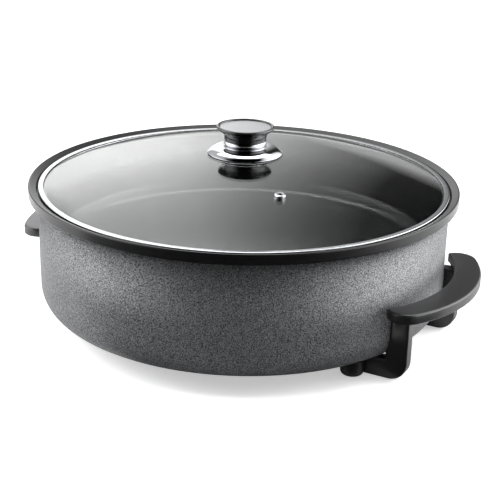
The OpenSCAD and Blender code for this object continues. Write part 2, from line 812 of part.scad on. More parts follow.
module knob_shell() {
    flare_z = knob_h - knob_lip_round * 2 - lip_rise - knob_flare_r;
    color(steel) translate([0, 0, knob_z]) difference() {
        rotate_extrude() {
            difference() {
                union() {
                    square([knob_neck_r, knob_h]);
                    translate([0, flare_z]) square([knob_lip_r - knob_lip_round, knob_h - flare_z]);
                }
                translate([knob_neck_r + knob_flare_r, flare_z]) circle(knob_flare_r);
            }
            translate([knob_lip_r - knob_lip_round, knob_h - knob_lip_round - lip_rise])
                circle(knob_lip_round);
            translate([knob_neck_r - knob_collar_h / 2 + collar_bulge, knob_collar_h / 2])
                circle(knob_collar_h / 2);
        }
        translate([0, 0, -through]) cylinder(r = core_r, h = core_h + through);
        translate([0, 0, knob_h - cap_t]) cylinder(r = cap_r, h = cap_t + through);
    }
}

module knob_core() {
    color(bakelite) translate([0, 0, knob_z]) difference() {
        cylinder(r = core_r - hole_gap, h = core_h - hole_gap);
        translate([0, 0, -through]) cylinder(r = knob_nut_r + hole_gap, h = knob_nut_h + through + hole_gap);
    }
}

module knob_nut() {
    color(brass) translate([0, 0, knob_z]) difference() {
        cylinder(r = knob_nut_r, h = knob_nut_h);
        translate([0, 0, -through]) cylinder(r = screw_r + hole_gap, h = knob_nut_h + 2 * through);
    }
}

module knob_cap() {
    color(aluminium) translate([0, 0, knob_z + knob_h - cap_t])
        cylinder(r = cap_r - hole_gap, h = cap_t - hole_gap);
}

module knob_skirt() {
    top_r = knob_neck_r + collar_bulge;
    fall = skirt_disc_h;
    half_chord = norm([skirt_disc_r - top_r, fall]) / 2;
    back = sqrt(pow(skirt_curve_r, 2) - pow(half_chord, 2)) / (2 * half_chord);
    curve_c = [(skirt_disc_r + top_r) / 2 - back * fall, -fall / 2 - back * (skirt_disc_r - top_r)];
    color(steel) translate([0, 0, knob_z]) difference() {
        rotate_extrude() {
            intersection() {
                translate(curve_c) difference() {
                    circle(skirt_curve_r);
                    circle(skirt_curve_r - skirt_disc_t);
                }
                translate([top_r - skirt_disc_t, -fall]) square([skirt_disc_r, fall]);
            }
            translate([skirt_disc_r - skirt_disc_t, -fall]) circle(skirt_disc_t);
            translate([0, -skirt_disc_t]) square([top_r, skirt_disc_t]);
        }
        translate([0, 0, -2 * skirt_disc_t]) cylinder(r = screw_r + hole_gap, h = 4 * skirt_disc_t);
    }
}

module knob_spacer() {
    color(bakelite) difference() {
        translate([0, 0, spacer_z]) cylinder(r = spacer_r, h = knob_z - skirt_disc_t - spacer_z);
        translate([0, 0, spacer_z - through]) cylinder(r = screw_r + hole_gap, h = knob_z);
    }
}

module upper_gasket() {
    color(silicone) difference() {
        translate([0, 0, crown_top]) cylinder(r = spacer_r, h = gasket_t);
        translate([0, 0, crown_top - through])
            cylinder(r = screw_r + glass_hole_play, h = gasket_t + 2 * through);
    }
}

module lower_gasket() {
    color(silicone) translate([0, 0, lower_gasket_z]) difference() {
        cylinder(r = washer_r, h = gasket_t);
        translate([0, 0, -through]) cylinder(r = screw_r + glass_hole_play, h = gasket_t + 2 * through);
    }
}

module knob_washer() {
    color(steel) translate([0, 0, lower_gasket_z - washer_t]) difference() {
        cylinder(r = washer_r, h = washer_t);
        translate([0, 0, -through]) cylinder(r = screw_r + hole_gap, h = washer_t + 2 * through);
    }
}

module knob_screw() {
    screw_z = lower_gasket_z - washer_t;
    color(steel) translate([0, 0, screw_z])
        screw(screw_r, knob_z + knob_nut_h - screw_z - through, screw_head_r, screw_head_h);
}

inner_pan();
outer_casing();
bottom_cover();
cover_screws();
spacer_posts();
casing_screws();
heat_plate();
heating_element();
element_clips();
clip_screws();
heat_shield();
contact_pins();
pin_insulators();
sensor_sleeve();
sensor_block();
block_screws();
earth_strap();
earth_screw();
inlet_socket();
inlet_screws();
right_handle();
left_handle();
foot_screws();
foot_nuts();
handle_wall_screws();
lid_glass();
lid_band();
steam_vent();
knob_shell();
knob_core();
knob_nut();
knob_cap();
knob_skirt();
knob_spacer();
upper_gasket();
lower_gasket();
knob_washer();
knob_screw();
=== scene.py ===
import json
import math
import bmesh
import bpy
import numpy as np
from mathutils import Matrix, Vector


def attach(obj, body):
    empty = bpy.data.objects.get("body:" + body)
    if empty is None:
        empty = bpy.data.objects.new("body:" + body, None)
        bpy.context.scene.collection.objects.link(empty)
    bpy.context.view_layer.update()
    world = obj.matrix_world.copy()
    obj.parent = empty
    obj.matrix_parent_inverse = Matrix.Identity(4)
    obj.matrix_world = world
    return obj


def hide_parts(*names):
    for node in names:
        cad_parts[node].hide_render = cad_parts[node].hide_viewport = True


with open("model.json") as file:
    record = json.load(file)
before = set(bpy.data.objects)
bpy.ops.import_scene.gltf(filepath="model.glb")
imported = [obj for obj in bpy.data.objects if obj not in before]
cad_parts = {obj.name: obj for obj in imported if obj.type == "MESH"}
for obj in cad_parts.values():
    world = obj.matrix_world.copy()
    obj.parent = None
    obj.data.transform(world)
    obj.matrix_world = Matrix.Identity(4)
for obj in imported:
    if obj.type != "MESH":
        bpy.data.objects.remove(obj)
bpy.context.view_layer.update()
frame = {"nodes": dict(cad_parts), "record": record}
mm = 0.001
print("frame loaded:", len(frame["nodes"]), "nodes")


# sRGB hex text to a linear colour
def colour(text):
    c = np.array([int(text[i:i + 2], 16) for i in (1, 3, 5)]) / 255
    c = np.where(c <= 0.04045, c / 12.92, ((c + 0.055) / 1.055) ** 2.4)
    return (*c.tolist(), 1.0)


# one shader node: settings are set on it, feeds are links (sockets) or values for its inputs
def addNode(tree, kind, settings=None, feeds=None):
    node = tree.nodes.new("ShaderNode" + kind)
    for name, value in (settings or {}).items():
        setattr(node, name, value)
    for name, value in (feeds or {}).items():
        socket = node.inputs[name]
        if isinstance(value, bpy.types.NodeSocket):
            tree.links.new(value, socket)
        else:
            socket.default_value = value
    return node


# a material with its tree, its Principled shader set from values, and object coordinates
def startMaterial(name, values):
    material = bpy.data.materials.new(name)
    material.use_nodes = True
    tree = material.node_tree
    shader = tree.nodes["Principled BSDF"]
    for socket, value in values.items():
        shader.inputs[socket].default_value = value
    place = addNode(tree, "TexCoord").outputs["Object"]
    return material, tree, shader, place


# quads of a grid of points, rows by columns, wrapped round where asked
def gridFaces(rows, columns, wrapRows=False, wrapColumns=True):
    i = np.arange(rows if wrapRows else rows - 1)[:, None]
    j = np.arange(columns if wrapColumns else columns - 1)[None, :]
    i2, j2 = (i + 1) % rows, (j + 1) % columns
    quads = np.stack([i * columns + j, i * columns + j2, i2 * columns + j2, i2 * columns + j], -1)
    return quads.reshape(-1, 4)


# corners (x, y, radius) joined by lines, each corner an arc tangent to both lines;
# a guard point beside each arc keeps the smooth shading off the flats
def roundedLine(corners, closed=True, steps=8, guard=0.4):
    c = np.array([p[:2] for p in corners], float)
    out = []
    for k, corner in enumerate(corners):
        radius = corner[2] if len(corner) > 2 else 0
        p, before, after = c[k], c[k - 1], c[(k + 1) % len(c)]
        if radius <= 0 or (not closed and k in (0, len(c) - 1)):
            out.append(p[None])
            continue
        d1, d2 = before - p, after - p
        l1, l2 = np.linalg.norm(d1), np.linalg.norm(d2)
        d1, d2 = d1 / l1, d2 / l2
        half = math.acos(np.clip(d1 @ d2, -1, 1)) / 2
        reach = radius / math.tan(half)
        centre = p + (d1 + d2) / np.linalg.norm(d1 + d2) * radius / math.sin(half)
        a, b = p + d1 * reach - centre, p + d2 * reach - centre
        sweep = math.pi - 2 * half
        t = np.linspace(0, 1, steps + 1)[:, None]
        arc = centre + (np.sin((1 - t) * sweep) * a + np.sin(t * sweep) * b) / math.sin(sweep)
        g1, g2 = min(guard, (l1 - reach) / 3), min(guard, (l2 - reach) / 3)
        out += [(p + d1 * (reach + g1))[None], arc, (p + d2 * (reach + g2))[None]]
    return np.concatenate(out)


# surface of revolution: point (i, j) is (r cos a, r sin a, z), r and z along the profile, a round the axis
def lathe(profile, steps=256, closed=True, centre=(0, 0)):
    r, z = np.asarray(profile, float).T
    a = np.linspace(0, 2 * np.pi, steps, endpoint=False)
    x = centre[0] + np.outer(r, np.cos(a))
    y = centre[1] + np.outer(r, np.sin(a))
    points = np.stack([x, y, np.broadcast_to(z[:, None], x.shape)], -1).reshape(-1, 3)
    return points, gridFaces(len(r), steps, wrapRows=closed)


# a closed outline walked at even steps and softened along its length, so that its corners are round
def softOutline(points, count, soften):
    p = np.asarray(points, float)
    p = np.concatenate([p, p[:1]])
    s = np.concatenate([[0], np.cumsum(np.linalg.norm(np.diff(p, axis=0), axis=1))])
    t = np.linspace(0, s[-1], count, endpoint=False)
    even = np.stack([np.interp(t, s, p[:, k]) for k in (0, 1)], -1)
    f = np.fft.fftfreq(count, s[-1] / count)
    blur = np.exp(-2 * (np.pi * soften * f) ** 2)[:, None]
    return np.fft.ifft(np.fft.fft(even, axis=0) * blur, axis=0).real


# an outline moved inwards by d along its normals
def inset(outline, d):
    t = np.roll(outline, -1, 0) - np.roll(outline, 1, 0)
    n = np.stack([-t[:, 1], t[:, 0]], -1) / np.linalg.norm(t, axis=1)[:, None]
    x, y = outline.T
    turn = np.sign(np.sum(x * np.roll(y, -1) - np.roll(x, -1) * y))
    return outline + turn * d * n


# rings of points, one per row, skinned into a closed body with a flat face at each end
def skinRings(rings):
    rows, columns = rings.shape[:2]
    faces = gridFaces(rows, columns).tolist()
    faces.append(list(range(columns))[::-1])
    faces.append(list(range((rows - 1) * columns, rows * columns)))
    return rings.reshape(-1, 3), faces


# quarter-round insets and offsets for an edge: (inset, rise) from the flat to the side
def edgeRound(radius, steps=5):
    a = np.linspace(0, np.pi / 2, steps + 1)
    return np.stack([radius * (1 - np.sin(a)), radius * (1 - np.cos(a))], -1)


# joins (points, faces) shapes in mm into one mesh object that rides on a body
def addPiece(name, shapes, body, material, nodes=()):
    points, faces, start = [], [], 0
    for p, f in shapes:
        p = np.asarray(p, float)
        faces += [[int(k) + start for k in face] for face in (f.tolist() if isinstance(f, np.ndarray) else f)]
        points.append(p)
        start += len(p)
    mesh = bpy.data.meshes.new(name)
    mesh.from_pydata((np.concatenate(points) * mm).tolist(), [], faces)
    work = bmesh.new()
    work.from_mesh(mesh)
    bmesh.ops.remove_doubles(work, verts=work.verts, dist=1e-7)
    bmesh.ops.recalc_face_normals(work, faces=work.faces)
    work.to_mesh(mesh)
    work.free()
    mesh.polygons.foreach_set("use_smooth", np.ones(len(mesh.polygons), bool))
    mesh.materials.append(material)
    piece = bpy.data.objects.new(name, mesh)
    bpy.context.collection.objects.link(piece)
    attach(piece, body)
    if nodes:
        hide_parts(*nodes)
    return piece


# Materials

# hammered-finish paint: stoved grey enamel drawn up into small shiny specks about 2.4 mm apart
paintLook = {"speck": 0.95, "dark": "#3e3f41", "light": "#8e8f91", "darkEnd": 0.36, "lightEnd": 0.66, "depth": 0.16,
             "metallic": 0.6, "roughness": 0.48}


def hammeredPaint():
    look = paintLook
    material, tree, shader, place = startMaterial("hammered grey stove enamel", {
        "Metallic": look["metallic"], "Roughness": look["roughness"]})
    specks = addNode(tree, "TexNoise", None, {
        "Vector": place, "Scale": 1 / (look["speck"] * mm), "Detail": 1.0, "Roughness": 0.4})
    tint = addNode(tree, "ValToRGB", None, {"Fac": specks.outputs["Fac"]})
    dark, light = tint.color_ramp.elements
    dark.position, light.position = look["darkEnd"], look["lightEnd"]
    dark.color, light.color = colour(look["dark"]), colour(look["light"])
    bump = addNode(tree, "Bump", None, {
        "Height": specks.outputs["Fac"], "Distance": look["depth"] * mm, "Strength": 1.0})
    tree.links.new(tint.outputs["Color"], shader.inputs["Base Color"])
    tree.links.new(bump.outputs["Normal"], shader.inputs["Normal"])
    return material


# a near-even finish: colour and roughness wander a little with a noise of real size (mm)
evenLook = {"darkEnd": 0.3, "lightEnd": 0.7, "spread": 0.1, "bump": 0.6}


def evenFinish(name, darkTone, lightTone, roughness, size, values=None, depth=0.0):
    look = evenLook
    material, tree, shader, place = startMaterial(name, values or {})
    noise = addNode(tree, "TexNoise", None, {"Vector": place, "Scale": 1 / (size * mm), "Detail": 3.0})
    tint = addNode(tree, "ValToRGB", None, {"Fac": noise.outputs["Fac"]})
    dark, light = tint.color_ramp.elements
    dark.position, light.position = look["darkEnd"], look["lightEnd"]
    dark.color, light.color = colour(darkTone), colour(lightTone)
    rough = addNode(tree, "MapRange", None, {
        "Value": noise.outputs["Fac"], "To Min": roughness * (1 - look["spread"]),
        "To Max": roughness * (1 + look["spread"])})
    tree.links.new(tint.outputs["Color"], shader.inputs["Base Color"])
    tree.links.new(rough.outputs["Result"], shader.inputs["Roughness"])
    if depth:
        bump = addNode(tree, "Bump", None, {
            "Height": noise.outputs["Fac"], "Distance": depth * mm, "Strength": look["bump"]})
        tree.links.new(bump.outputs["Normal"], shader.inputs["Normal"])
    return material


# tempered soda-lime glass: clear, polished, a faint grey-green at depth; it lets lamp light through
glassLook = {"ior": 1.5, "drift": 90, "dark": "#f2f5f4", "light": "#f8faf9", "shadow": "#eef2f1"}


def clearGlass():
    look = glassLook
    material, tree, shader, place = startMaterial("polished tempered glass", {
        "Roughness": 0.0, "IOR": look["ior"], "Transmission Weight": 1.0})
    noise = addNode(tree, "TexNoise", None, {"Vector": place, "Scale": 1 / (look["drift"] * mm)})
    tint = addNode(tree, "ValToRGB", None, {"Fac": noise.outputs["Fac"]})
    dark, light = tint.color_ramp.elements
    dark.color, light.color = colour(look["dark"]), colour(look["light"])
    tree.links.new(tint.outputs["Color"], shader.inputs["Base Color"])
    path = addNode(tree, "LightPath")
    clear = addNode(tree, "BsdfTransparent", None, {"Color": colour(look["shadow"])})
    mix = addNode(tree, "MixShader", None, {
        0: path.outputs["Is Shadow Ray"], 1: shader.outputs["BSDF"], 2: clear.outputs["BSDF"]})
    tree.links.new(mix.outputs["Shader"], tree.nodes["Material Output"].inputs["Surface"])
    return material


# lathe-brushed aluminium: faint rings round the knob's axis, drawn about 3 mm apart so that they show;
# the wave texture runs 20 radians per metre at scale 1
capLook = {"ring": 3.1416, "waveRate": 20, "dark": "#b8babd", "light": "#c8cacc", "roughness": 0.3}


def ringBrushed():
    look = capLook
    material, tree, shader, place = startMaterial("ring-brushed anodised aluminium", {
        "Metallic": 1.0, "Roughness": look["roughness"]})
    rings = addNode(tree, "TexWave", {"wave_type": "RINGS", "rings_direction": "Z"}, {
        "Vector": place, "Scale": 2 * math.pi / (look["waveRate"] * look["ring"] * mm),
        "Distortion": 1.5, "Detail": 2.0})
    tint = addNode(tree, "ValToRGB", None, {"Fac": rings.outputs["Fac"]})
    dark, light = tint.color_ramp.elements
    dark.color, light.color = colour(look["dark"]), colour(look["light"])
    tree.links.new(tint.outputs["Color"], shader.inputs["Base Color"])
    return material


finish = {
    "hammered_steel": hammeredPaint(),
    # silicone-polyester non-stick coat on cast aluminium: satin black
    "coated_aluminium": evenFinish("black non-stick coat, satin", "#09090a", "#0c0c0d", 0.24, 6.0,
                                   {"Specular IOR Level": 0.5}),
    # moulded phenolic plastic: near black with a fine sheen
    "bakelite": evenFinish("moulded phenolic, satin", "#0d0d0e", "#121213", 0.36, 1.5,
                           {"Specular IOR Level": 0.9}, depth=0.01),
    # rolled stainless steel: a bright, slightly soft mirror
    "bright_steel": evenFinish("bright rolled stainless steel", "#c2c4c6", "#d2d4d6", 0.16, 3.0,
                               {"Metallic": 1.0}),
    # chrome plate on a polished base: a sharp mirror
    "knob_chrome": evenFinish("polished chrome plate", "#bcbec1", "#c6c8cb", 0.05, 8.0, {"Metallic": 1.0}),
    # the knob's body: black moulding, buffed to a gloss
    "knob_black": evenFinish("moulded phenolic, polished", "#08080a", "#0c0c0d", 0.1, 4.0,
                             {"Specular IOR Level": 0.9}),
    "brushed_cap": ringBrushed(),
    "lid_glass": clearGlass(),
    # zinc plate on screws, nuts and clips: pale grey, soft shine
    "zinc_steel": evenFinish("zinc-plated steel", "#a3a6aa", "#b6b9bc", 0.35, 2.0, {"Metallic": 1.0}),
    # rolled sheet and cast aluminium without a coat: dull silver
    "plain_aluminium": evenFinish("rolled aluminium, as delivered", "#adafb2", "#bcbec0", 0.4, 4.0,
                                  {"Metallic": 1.0}),
    # heater sheath after its first heat: brown-grey oxide, nearly matt
    "element_steel": evenFinish("oxidised heater sheath", "#54504c", "#6a6560", 0.5, 3.0, {"Metallic": 0.8}),
    # drawn brass: yellow metal with a soft shine
    "pin_brass": evenFinish("drawn brass", "#b9964f", "#c9a763", 0.3, 2.0, {"Metallic": 1.0}),
    # fired ceramic without a glaze: cream and chalky
    "steatite": evenFinish("unglazed steatite", "#ddd6c6", "#e6e0d2", 0.6, 1.0),
    # silicone rubber: pale and matt
    "silicone": evenFinish("pale silicone rubber", "#d3d3cd", "#dcdcd7", 0.55, 2.0),
}
slotOf = {part["node"]: part["material_slot"] for part in frame["record"]["subparts"]}
for node, piece in frame["nodes"].items():
    piece.data.materials.clear()
    piece.data.materials.append(finish[slotOf[node]])
print("materials made:", len(finish))

# Cooking pan: floor, wall, ledge for the lid and flared rim with a sloping top, all in mm.
# A profile's corners are (radius, height, round)
pan = {"inside": 196, "wall": 3, "floor": 65, "fillet": 20, "seam": 128.6, "ledge": 131.2, "seat": 203.3, "neck": 205.5,
       "rim": 211, "rimTop": 140.5, "rimLow": 131.1, "edge": 1.2, "root": 0.6, "soft": 0.5, "seamEdge": 0.3,
       "slope": 25}
slope = math.radians(pan["slope"])
edgeTop = pan["rimTop"] - pan["edge"] + pan["edge"] * math.tan(math.pi / 4 + slope / 2)
seatTop = edgeTop - (pan["rim"] - pan["seat"]) * math.tan(slope)
outside = pan["inside"] + pan["wall"]
underside = pan["floor"] - pan["wall"]
panLine = roundedLine([
    (0, pan["floor"]), (pan["inside"], pan["floor"], pan["fillet"]), (pan["inside"], pan["ledge"], pan["edge"]),
    (pan["seat"], pan["ledge"], pan["root"]), (pan["seat"], seatTop, pan["soft"]), (pan["rim"], edgeTop, pan["edge"]),
    (pan["rim"], pan["rimLow"], pan["edge"]), (pan["neck"], pan["rimLow"], pan["soft"]),
    (pan["neck"], pan["seam"], pan["seamEdge"]), (outside, pan["seam"], pan["soft"]),
    (outside, underside, pan["fillet"] + pan["wall"]), (0, underside)], closed=False, steps=14)
addPiece("cooking_pan", [lathe(panLine, 360, closed=False)], "pan", finish["coated_aluminium"],
         ["inner_pan"])

# Casing: sheet wall with a rounded bottom edge, and a window for the inlet
casing = {"radius": 202, "sheet": 1.2, "bottom": 15, "fillet": 25, "opening": 120, "window": (31.3, 40.3, 60.9)}
outer = roundedLine([(casing["radius"], pan["seam"]), (casing["radius"], casing["window"][2]),
                     (casing["radius"], casing["window"][1]), (casing["radius"], casing["bottom"], casing["fillet"]),
                     (casing["opening"], casing["bottom"])], closed=False, steps=20)
r, t = casing["radius"] - casing["sheet"], casing["sheet"]
inner = roundedLine([(casing["opening"], casing["bottom"] + t),
                     (r, casing["bottom"] + t, casing["fillet"] - t), (r, casing["window"][1]),
                     (r, casing["window"][2]), (r, pan["seam"])], closed=False, steps=20)
profile = np.concatenate([outer, inner])
points, faces = lathe(profile, 360)
edge = math.asin(casing["window"][0] / casing["radius"])
middle = points[faces].mean(1)
angle = np.abs(np.abs(np.arctan2(middle[:, 1], middle[:, 0])) - np.pi)
inWindow = (angle < edge) & (middle[:, 2] > casing["window"][1]) & (middle[:, 2] < casing["window"][2])
addPiece("casing", [(points, faces[~inWindow])], "pan", finish["hammered_steel"], ["outer_casing"])

# Handles: crescent grip, two legs that follow the casing, round foot bosses
handle = {"reach": 241.9, "gap": 215.5, "outer": 146, "inner": 137, "half": 88.3, "end": 17.5, "top": 73.5,
          "under": 64.0, "edge": 1.9, "lowEdge": 1.2, "soften": 0.5, "legSide": 65, "leg": 12, "legOut": 207.3,
          "legIn": 186.5, "legEdge": 1.3, "legFlat": 2.2, "overlap": 0.4, "round": 17, "bar": 19, "barEnd": 148.7,
          "boss": (157.5, 77.0), "bossR": 11, "bossRound": 4.0, "headHole": (5.2, 5.75), "screwHole": 2.6,
          "ear": (8.8, 76.5), "earLow": 4, "earSoften": 0.6, "earEdge": 0.4, "clear": 0.2, "leftAngle": 177.5}
gripSteps, legSteps, earSteps = 900, 420, 120


# crescent between two arcs with round ends, drawn in by d all round: outer arc, end circle, inner arc, end circle
def gripOutline(d):
    h = handle
    oc, ic, ev = h["reach"] - h["outer"], h["gap"] - h["inner"], h["half"] - h["end"]
    eu = oc + math.sqrt((h["outer"] - h["end"]) ** 2 - ev ** 2)
    outer, end, inner = h["outer"] - d, h["end"] - d, h["inner"] + d
    joinA = math.atan2(ev, eu - oc)
    dist = math.hypot(eu - ic, ev)
    tip = math.acos((dist ** 2 + end ** 2 - inner ** 2) / (2 * dist * end))
    tipA = math.atan2(-ev, ic - eu) + 2 * math.pi - tip
    arcSteps, endSteps = 200, 80
    a = np.linspace(-joinA, joinA, arcSteps)
    b = np.linspace(joinA, tipA, endSteps)
    outerArc = np.stack([oc + outer * np.cos(a), outer * np.sin(a)], -1)
    endArc = np.stack([eu + end * np.cos(b), ev + end * np.sin(b)], -1)
    tipC = math.atan2(endArc[-1, 1], endArc[-1, 0] - ic)
    c = np.linspace(tipC, -tipC, arcSteps)
    innerArc = np.stack([ic + inner * np.cos(c), inner * np.sin(c)], -1)
    line = np.concatenate([outerArc, endArc[1:], innerArc[1:-1], endArc[::-1][:-1] * [1, -1]])
    return softOutline(line, gripSteps, h["soften"])


# side view of a leg at the distance v from the handle's middle, drawn in by d; it stands free of the casing's fillet
def legOutline(v, d):
    h, c = handle, casing

    def at(radius):
        return math.sqrt((radius + h["clear"]) ** 2 - v ** 2)

    inside = max(h["legIn"], at(c["radius"])) + d
    a = np.linspace(-np.pi / 2, 0, 24)
    centre, bend = (h["legOut"] - h["round"], h["round"]), h["round"] - d
    corner = np.stack([centre[0] + bend * np.cos(a), centre[1] + bend * np.sin(a)], -1)
    f = np.linspace(0, np.pi / 2, 60)
    fillet = np.stack([[at(c["radius"] - c["fillet"] * (1 - np.cos(k))) for k in f],
                       c["bottom"] - h["clear"] + c["fillet"] * (1 - np.sin(f))], -1)
    back = np.c_[np.maximum(fillet[:, 0], h["legIn"]) + d, fillet[:, 1]]
    under = np.c_[fillet[:, 0], np.minimum(fillet[:, 1], h["bar"]) - d]
    top = h["under"] + h["overlap"]
    start = [[h["barEnd"] + d, d]]
    end = [[h["barEnd"] + d, c["bottom"] - h["clear"] - d]]
    above, below = fillet[:, 1] > h["bar"] - d, fillet[:, 1] < h["bar"] - d
    return np.concatenate([start, corner, [[h["legOut"] - d, top], [inside, top]], back[above], under[below], end])


# grip: its outline at each inset and height, skinned. Leg: its side view at each step across, skinned.
# Boss: a lathe shape with the screw's holes. Ear: a block that joins leg and boss
def handleShapes():
    h = handle
    topEdge, lowEdge, legEdge = edgeRound(h["edge"]), edgeRound(h["lowEdge"]), edgeRound(h["legEdge"])
    rings = [np.c_[gripOutline(d), np.full(gripSteps, h["under"] + z)] for d, z in lowEdge]
    rings += [np.c_[gripOutline(d), np.full(gripSteps, h["top"] - z)] for d, z in topEdge[::-1]]
    shapes = [skinRings(np.array(rings))]
    low, high = h["legSide"] - h["leg"] / 2, h["legSide"] + h["leg"] / 2
    bossTop = casing["bottom"] - h["clear"]
    (bu, bv), (headR, headZ), (earHalf, earEnd) = h["boss"], h["headHole"], h["ear"]
    for side in (-1, 1):
        steps = [(low + z, d) for d, z in legEdge]
        steps += [(v, 0) for v in np.linspace(low + h["legFlat"], high - h["legFlat"], 6)]
        steps += [(high - z, d) for d, z in legEdge[::-1]]
        rings = []
        for v, d in steps:
            line = softOutline(legOutline(v, d), legSteps, h["soften"])
            rings.append(np.stack([line[:, 0], np.full(legSteps, side * v), line[:, 1]], -1))
        shapes.append(skinRings(np.array(rings)))
        shapes.append(lathe(roundedLine([
            (headR, headZ, 0.3), (headR, 0, 0.5), (h["bossR"], 0, h["bossRound"]), (h["bossR"], bossTop, 0.3),
            (h["screwHole"], bossTop, 0.2), (h["screwHole"], headZ, 0.2)]), 72, centre=(bu, side * bv)))
        ear = softOutline([(bu - earHalf, side * h["legSide"]), (bu + earHalf, side * h["legSide"]),
                           (bu + earHalf, side * earEnd), (bu - earHalf, side * earEnd)], earSteps, h["earSoften"])
        rings = [np.c_[inset(ear, d), np.full(earSteps, h["earLow"] + z)] for d, z in lowEdge]
        rings += [np.c_[inset(ear, d), np.full(earSteps, bossTop - z)] for d, z in edgeRound(h["earEdge"])[::-1]]
        shapes.append(skinRings(np.array(rings)))
    return shapes


turned = np.array(Matrix.Rotation(math.radians(handle["leftAngle"]), 3, "Z")).T
addPiece("grip_and_feet_right", handleShapes(), "pan", finish["bakelite"], ["right_handle"])
addPiece("grip_and_feet_left", [(p @ turned, f) for p, f in handleShapes()], "pan", finish["bakelite"],
         ["left_handle"])
print("pan, casing and handles shaped")

# Lid glass: two concentric spherical caps with a hole in the middle and one for the steam vent
lid = {"edge": 200, "edgeZ": 132.15, "rise": 32, "glass": 4, "hole": 3.5, "vent": (114.6, -45.5), "ventHole": 3.2,
       "pitch": 1.25, "cell": 2.5, "rows": (44, 6, 34)}
domeIn = (lid["edge"] ** 2 + lid["rise"] ** 2) / (2 * lid["rise"])
domeOut = domeIn + lid["glass"]
domeZ = lid["edgeZ"] + lid["rise"] - domeIn


# directions from the dome's centre on a polar grid, with a block of cells round the vent swapped for
# loops that run from the block's border to the vent's round hole
def glassShape():
    ventR, ventA = lid["vent"]
    pitch, cell = lid["pitch"], lid["cell"]
    inRows, blockRows, outRows = lid["rows"]
    columns = int(360 / pitch)
    w = blockRows // 2
    i0, i1, block = inRows - 1, inRows - 1 + blockRows, w * cell
    rows = np.concatenate([np.linspace(lid["hole"], ventR - block, inRows),
                           np.linspace(ventR - block + cell, ventR + block, blockRows),
                           np.linspace(ventR + block + cell, lid["edge"], outRows)])
    a = np.radians(ventA + pitch * np.arange(columns))
    flat = np.stack([np.outer(rows, np.cos(a)), np.outer(rows, np.sin(a))], -1)
    border = [(i0, j) for j in range(-w, w)] + [(i, w) for i in range(i0, i1)]
    border += [(i1, j) for j in range(w, -w, -1)] + [(i, -w) for i in range(i1, i0, -1)]
    border = np.array([i * columns + j % columns for i, j in border])
    b = flat.reshape(-1, 2)[border]
    centre = ventR * np.array([math.cos(math.radians(ventA)), math.sin(math.radians(ventA))])
    out = (b - centre) / np.linalg.norm(b - centre, axis=1)[:, None]
    shares = (0.4, 0.75, 1.0)
    loops = [b + (centre + out * lid["ventHole"] - b) * s for s in shares]
    xy = np.concatenate([flat.reshape(-1, 2), *loops])
    up = np.concatenate([xy, np.sqrt(domeOut ** 2 - (xy ** 2).sum(1))[:, None]], 1) / domeOut
    quads = gridFaces(len(rows), columns)
    i, j = np.divmod(np.arange(len(quads)), columns)
    j = (j + w) % columns
    quads = quads[~((i >= i0) & (i < i1) & (j < 2 * w))]
    n, m = len(rows) * columns, len(border)
    ring = np.array([border] + [n + k * m + np.arange(m) for k in range(len(shares))])
    strips = [np.stack([one, np.roll(one, -1), np.roll(two, -1), two], -1) for one, two in zip(ring, ring[1:])]
    skin = np.concatenate([quads, *strips])
    total = len(up)
    walls = [np.arange(columns), (len(rows) - 1) * columns + np.arange(columns), ring[-1]]
    walls = [np.stack([e, np.roll(e, -1), np.roll(e, -1) + total, e + total], -1) for e in walls]
    points = np.concatenate([up * domeOut, up * domeIn]) + [0, 0, domeZ]
    return points, np.concatenate([skin, skin[:, ::-1] + total, *walls])


addPiece("dome_glass", [glassShape()], "lid", finish["lid_glass"], ["lid_glass"])

# Steel band: wall on the ledge, rolled top edge, lip down to the glass, skirt inside the pan
band = {"radius": 201.5, "sheet": 0.8, "bottom": 131.2, "top": 138.66, "skirt": 194.5, "skirtLow": 128.2,
        "lip": 196.4, "shoulder": 199.5, "clear": 0.15}
b, t = band, band["sheet"]
lipZ = domeZ + math.sqrt(domeOut ** 2 - b["lip"] ** 2) + b["clear"]
skirtTop = domeZ + math.sqrt(domeIn ** 2 - b["skirt"] ** 2) - b["clear"]
ringProfile = roundedLine([
    (b["radius"], b["bottom"], 0.3), (b["radius"], b["top"], 1.0), (b["shoulder"], b["top"], 1.0),
    (b["lip"], lipZ + t, 0.25), (b["lip"], lipZ, 0.2), (b["shoulder"], b["top"] - t, 0.5),
    (b["radius"] - t, b["top"] - t, 0.4),
    (b["radius"] - t, b["bottom"] + t, 0.3), (b["skirt"], b["bottom"] + t, 0.2), (b["skirt"], skirtTop, 0.3),
    (b["skirt"] - t, skirtTop, 0.3), (b["skirt"] - t, b["skirtLow"], 0.3), (b["skirt"], b["skirtLow"], 0.3),
    (b["skirt"], b["bottom"], 0.3)], steps=6, guard=0.25)
addPiece("lid_ring", [lathe(ringProfile, 360)], "lid", finish["bright_steel"], ["lid_band"])

# Knob: domed skirt disc, collar, waisted neck with a flared lip, brushed disc let into the top
knob = {"z": 177.48, "height": 17, "neck": 20.7, "lip": 28.5, "lipRound": 1.65, "flare": 8.5, "flareEnd": 0.19,
        "lipGap": 0.2, "lipEnd": 0.5, "collar": 5.0, "bulge": 1.4, "tuck": 0.4, "sleeve": 18.9, "sleeveGap": 0.05,
        "recess": 24.9, "recessT": 2.2, "core": 18.5, "coreH": 11.7, "disc": 37, "discH": 9.3, "discCurve": 21.0,
        "seat": 2.2, "seatGap": 0.5, "discT": 1.0, "bore": 2.6, "cap": 24.75, "capT": 0.75, "capDrop": 1.4}


